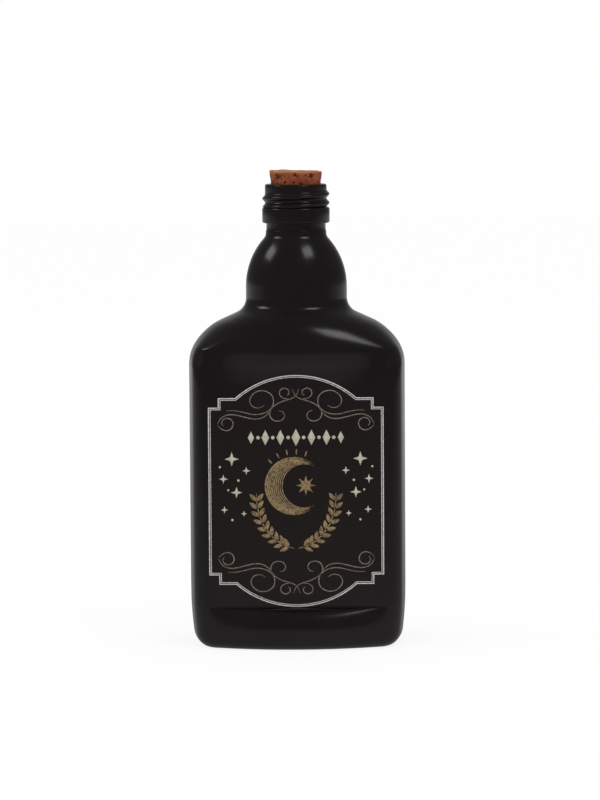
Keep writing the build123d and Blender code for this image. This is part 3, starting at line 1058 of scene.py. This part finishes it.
# %% Floor
floor_reach = 4000.0
floor_corners = floor_reach * np.array([[-1, -1, 0], [1, -1, 0], [1, 1, 0], [-1, 1, 0]])
floor = mesh_object("floor", floor_corners, [[0, 1, 2, 3]])
white_floor, shadow_share = 1.06, 0.18
dark_room, bright_floor, bright_back = 0.12, 0.3, 0.5
near_edge, front_reach, back_reach = 0.05, 0.7, 1.0


def stage_floor():
    """A pale floor: mostly white as the camera sees it, so that its shadow stays faint.

    In a reflection it is pale by the bottle, darker towards the camera and bright behind.
    """
    material, tree, shader, place = new_material("pale_floor")
    rays = add_node(tree, "ShaderNodeLightPath").outputs
    along = add_node(tree, "ShaderNodeSeparateXYZ", {0: place}).outputs["Y"]
    front = add_node(tree, "ShaderNodeMapRange", {
        "Value": along, "From Min": -front_reach, "From Max": -near_edge,
        "To Min": dark_room, "To Max": bright_floor,
    })
    back = add_node(tree, "ShaderNodeMapRange", {
        "Value": along, "From Min": near_edge, "From Max": back_reach,
        "To Min": 0.0, "To Max": bright_back - bright_floor,
    })
    pale = add_node(tree, "ShaderNodeMath", {
        0: front.outputs[0], 1: back.outputs[0],
    }, operation="ADD")
    shine = add_node(tree, "ShaderNodeMath", {
        0: rays["Is Glossy Ray"], 1: rays["Is Transmission Ray"],
    }, operation="ADD")
    white = add_node(tree, "ShaderNodeMath", {
        0: rays["Is Camera Ray"], 1: white_floor,
    }, operation="MULTIPLY")
    bright = add_node(tree, "ShaderNodeMath", {
        0: shine.outputs[0], 1: pale.outputs[0], 2: white.outputs[0],
    }, operation="MULTIPLY_ADD")
    share = add_node(tree, "ShaderNodeMath", {
        0: rays["Is Camera Ray"], 1: 1 - shadow_share, 2: shine.outputs[0],
    }, operation="MULTIPLY_ADD")
    glow = add_node(tree, "ShaderNodeEmission", {"Strength": bright.outputs[0]})
    shader.inputs["Base Color"].default_value = linear("#f2f2f2")
    shader.inputs["Roughness"].default_value = 1
    shader.inputs["Specular IOR Level"].default_value = 0
    mix = add_node(tree, "ShaderNodeMixShader", {
        0: share.outputs[0], 1: shader.outputs[0], 2: glow.outputs[0],
    })
    tree.links.new(mix.outputs[0], tree.nodes["Material Output"].inputs["Surface"])
    return material


floor.data.materials.append(stage_floor())
print("the floor is made of", floor.data.materials[0].name)

# %% [markdown]
# The world is the room about the floor. The camera sees it white, and it fills the shadows
# with a little less than white. Gloss sees a dim room with a bright backdrop behind the
# bottle, which gives black glass its pale edges. A picture of a room could light it too, but
# a rule with a few numbers is plainer and can be changed.

# %% World
room_for_fill, backdrop_power = 0.75, 5.0


def plain_room():
    """The world: white to the camera, and to gloss a bright backdrop in a dim room.

    With d for how far a ray points to the backdrop, from -1 to 1, the room's light for
    gloss is its dark value and, where d is over a half, the rest times (2 d - 1)^5.
    """
    room = bpy.data.worlds.new("plain_room")
    room.use_nodes = True
    tree = room.node_tree
    rays = add_node(tree, "ShaderNodeLightPath").outputs
    way = add_node(tree, "ShaderNodeTexCoord").outputs["Generated"]
    along = add_node(tree, "ShaderNodeSeparateXYZ", {0: way}).outputs["Y"]
    near = add_node(tree, "ShaderNodeMapRange", {
        "Value": along, "From Min": 0.5, "From Max": 1.0, "To Min": 0.0, "To Max": 1.0,
    })
    backdrop = add_node(tree, "ShaderNodeMath", {
        0: near.outputs[0], 1: backdrop_power,
    }, operation="POWER")
    level = add_node(tree, "ShaderNodeMath", {
        0: backdrop.outputs[0], 1: bright_back - dark_room, 2: dark_room,
    }, operation="MULTIPLY_ADD")
    shine = add_node(tree, "ShaderNodeMath", {
        0: rays["Is Glossy Ray"], 1: rays["Is Transmission Ray"],
    }, operation="ADD")
    seen = add_node(tree, "ShaderNodeMath", {
        0: shine.outputs[0], 1: level.outputs[0], 2: rays["Is Camera Ray"],
    }, operation="MULTIPLY_ADD")
    total = add_node(tree, "ShaderNodeMath", {
        0: rays["Is Diffuse Ray"], 1: room_for_fill, 2: seen.outputs[0],
    }, operation="MULTIPLY_ADD")
    sky = tree.nodes["Background"]
    sky.inputs["Color"].default_value = (1, 1, 1, 1)
    tree.links.new(total.outputs[0], sky.inputs["Strength"])
    return room


bpy.context.scene.world = plain_room()
print("the world is", bpy.context.scene.world.name)

# %% [markdown]
# Two soft boxes light the bottle from above, one to the right of the camera and one beside
# the bottle to the left. Black glass shows a lamp as a mirror does, so the lamps' places and
# sizes are those of the highlights. Glass mirrors about a twentieth of what it faces, so a
# lamp three times as bright as white still gives a soft spot.

# %% Lamps
box_distance, box_width, box_height, aim_height = 1.3, 0.46, 0.34, 0.1


def softbox(name, side, elevation, radiance):
    """A rectangular lamp that faces the bottle. Side is its angle from the camera, to the right.

    Its power is its radiance times pi times its area.
    """
    lamp = bpy.data.lights.new(name, "AREA")
    lamp.shape = "RECTANGLE"
    lamp.size, lamp.size_y = box_width, box_height
    lamp.energy = radiance * pi * box_width * box_height
    made = bpy.data.objects.new(name, lamp)
    bpy.context.scene.collection.objects.link(made)
    side, elevation = radians(side), radians(elevation)
    aim = Vector((sin(side) * cos(elevation), -cos(side) * cos(elevation), sin(elevation)))
    made.location = Vector((0, 0, aim_height)) + box_distance * aim
    made.rotation_euler = aim.to_track_quat("Z", "Y").to_euler()
    print(name, "has a power of", round(lamp.energy, 2), "W")


softbox("right_softbox", side=40, elevation=50, radiance=3.0)
softbox("left_softbox", side=-86, elevation=40, radiance=2.8)

# %% [markdown]
# The camera stands a metre and a half away and looks down by five and a half degrees. Its
# lens comes from the width of the bottle in the photograph, and it leans by a third of a
# degree as the photograph does.

# %% Camera
camera_distance, camera_height, camera_side = 1.5, 0.245, 1.2 * mm
camera_tilt, camera_roll = radians(5.477), radians(0.37)
focal_pixels, frame_pixels = 3603, 800
camera_data = bpy.data.cameras.new("camera")
camera = bpy.data.objects.new("camera", camera_data)
bpy.context.scene.collection.objects.link(camera)
camera_data.sensor_fit = "VERTICAL"
camera_data.sensor_height = 36
camera_data.lens = focal_pixels / frame_pixels * camera_data.sensor_height
camera.location = (camera_side, -camera_distance, camera_height)
turn = Matrix.Rotation(pi / 2 - camera_tilt, 4, "X") @ Matrix.Rotation(-camera_roll, 4, "Z")
camera.rotation_euler = turn.to_euler()
bpy.context.scene.camera = camera
bpy.context.scene.view_settings.view_transform = "Standard"
print("the camera's lens is", round(camera_data.lens, 1), "mm")
